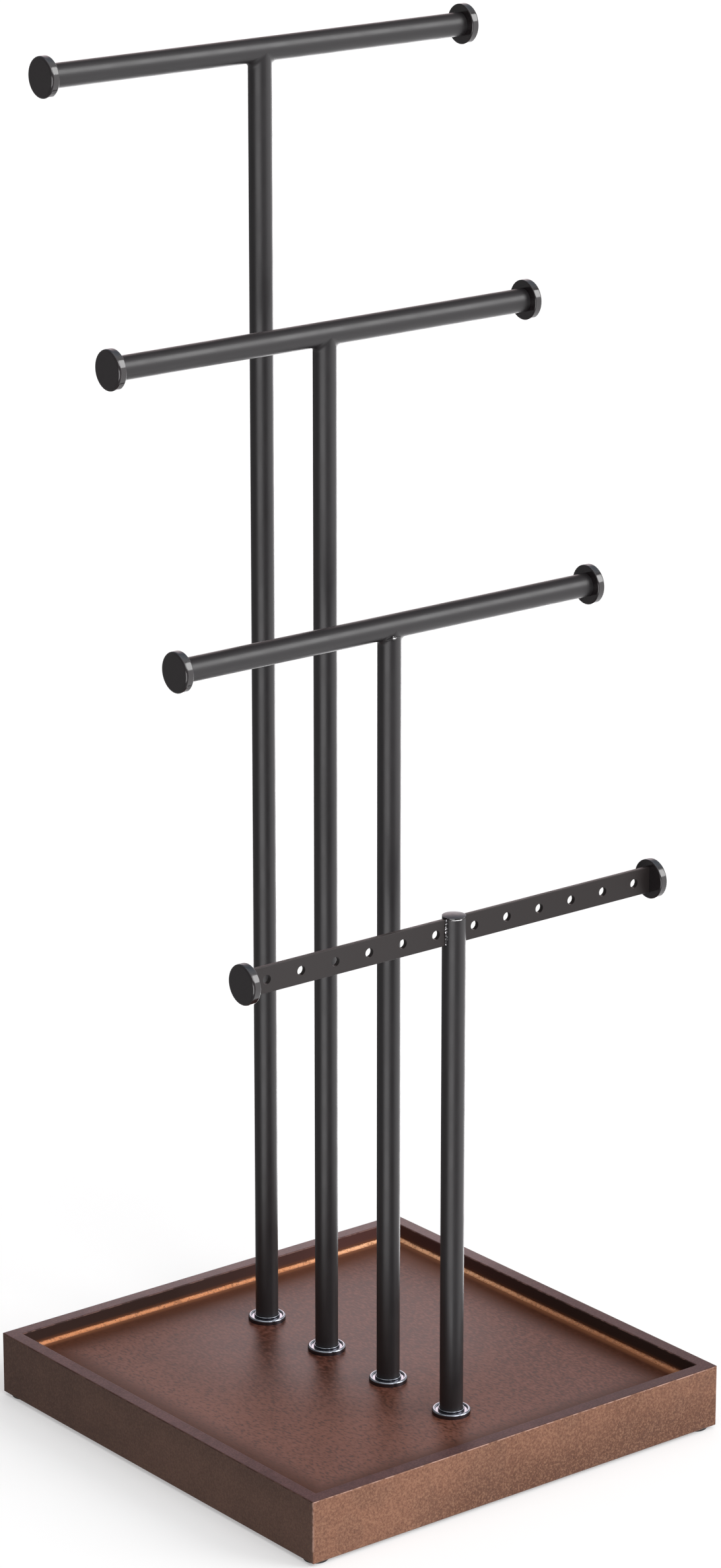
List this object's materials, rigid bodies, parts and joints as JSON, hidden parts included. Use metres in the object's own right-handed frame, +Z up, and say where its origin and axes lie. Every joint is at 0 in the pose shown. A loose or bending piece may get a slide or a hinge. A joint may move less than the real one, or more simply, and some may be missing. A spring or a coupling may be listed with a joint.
{
  "type": "jewellery stand",
  "caption": "Tiered jewellery stand: T-shaped tube arms with end buttons and a perforated earring bar, bolted to a square rimmed wooden tray.",
  "frame": {"origin": "on the table, under the middle of the tray", "axes": "+X along the crossbars, +Y towards the tallest arm at the back, +Z up"},
  "size_m": [0.17, 0.17, 0.458],
  "materials": {
    "satin_black_metal": "satin charcoal powder coat",
    "gloss_black_metal": "gloss black",
    "black_nickel": "polished black nickel",
    "stained_rail": "dark walnut stain on fibreboard, smooth",
    "stained_panel": "dark walnut stain on fibreboard, fine mottling",
    "zinc_steel": "zinc plated",
    "black_rubber": "matt"
  },
  "bodies": {
    "root": {"front_rail": "stained_rail", "right_rail": "stained_rail", "back_rail": "stained_rail", "left_rail": "stained_rail", "floor_panel": "stained_panel", "front_left_foot_pad": "black_rubber", "front_right_foot_pad": "black_rubber", "back_left_foot_pad": "black_rubber", "back_right_foot_pad": "black_rubber", "top_post": "satin_black_metal", "top_crossbar": "satin_black_metal", "top_weld": "satin_black_metal", "upper_post": "satin_black_metal", "upper_crossbar": "satin_black_metal", "upper_weld": "satin_black_metal", "middle_post": "satin_black_metal", "middle_crossbar": "satin_black_metal", "middle_weld": "satin_black_metal", "front_post": "satin_black_metal", "earring_bar": "satin_black_metal", "earring_bar_welds": "satin_black_metal", "post_cap": "gloss_black_metal", "top_left_end_button": "gloss_black_metal", "top_right_end_button": "gloss_black_metal", "top_collar": "black_nickel", "upper_left_end_button": "gloss_black_metal", "upper_right_end_button": "gloss_black_metal", "upper_collar": "black_nickel", "middle_left_end_button": "gloss_black_metal", "middle_right_end_button": "gloss_black_metal", "middle_collar": "black_nickel", "front_left_end_button": "gloss_black_metal", "front_right_end_button": "gloss_black_metal", "front_collar": "black_nickel", "foot_inserts": "zinc_steel", "post_screws": "zinc_steel", "screw_washers": "zinc_steel"}
  },
  "joints": []
}
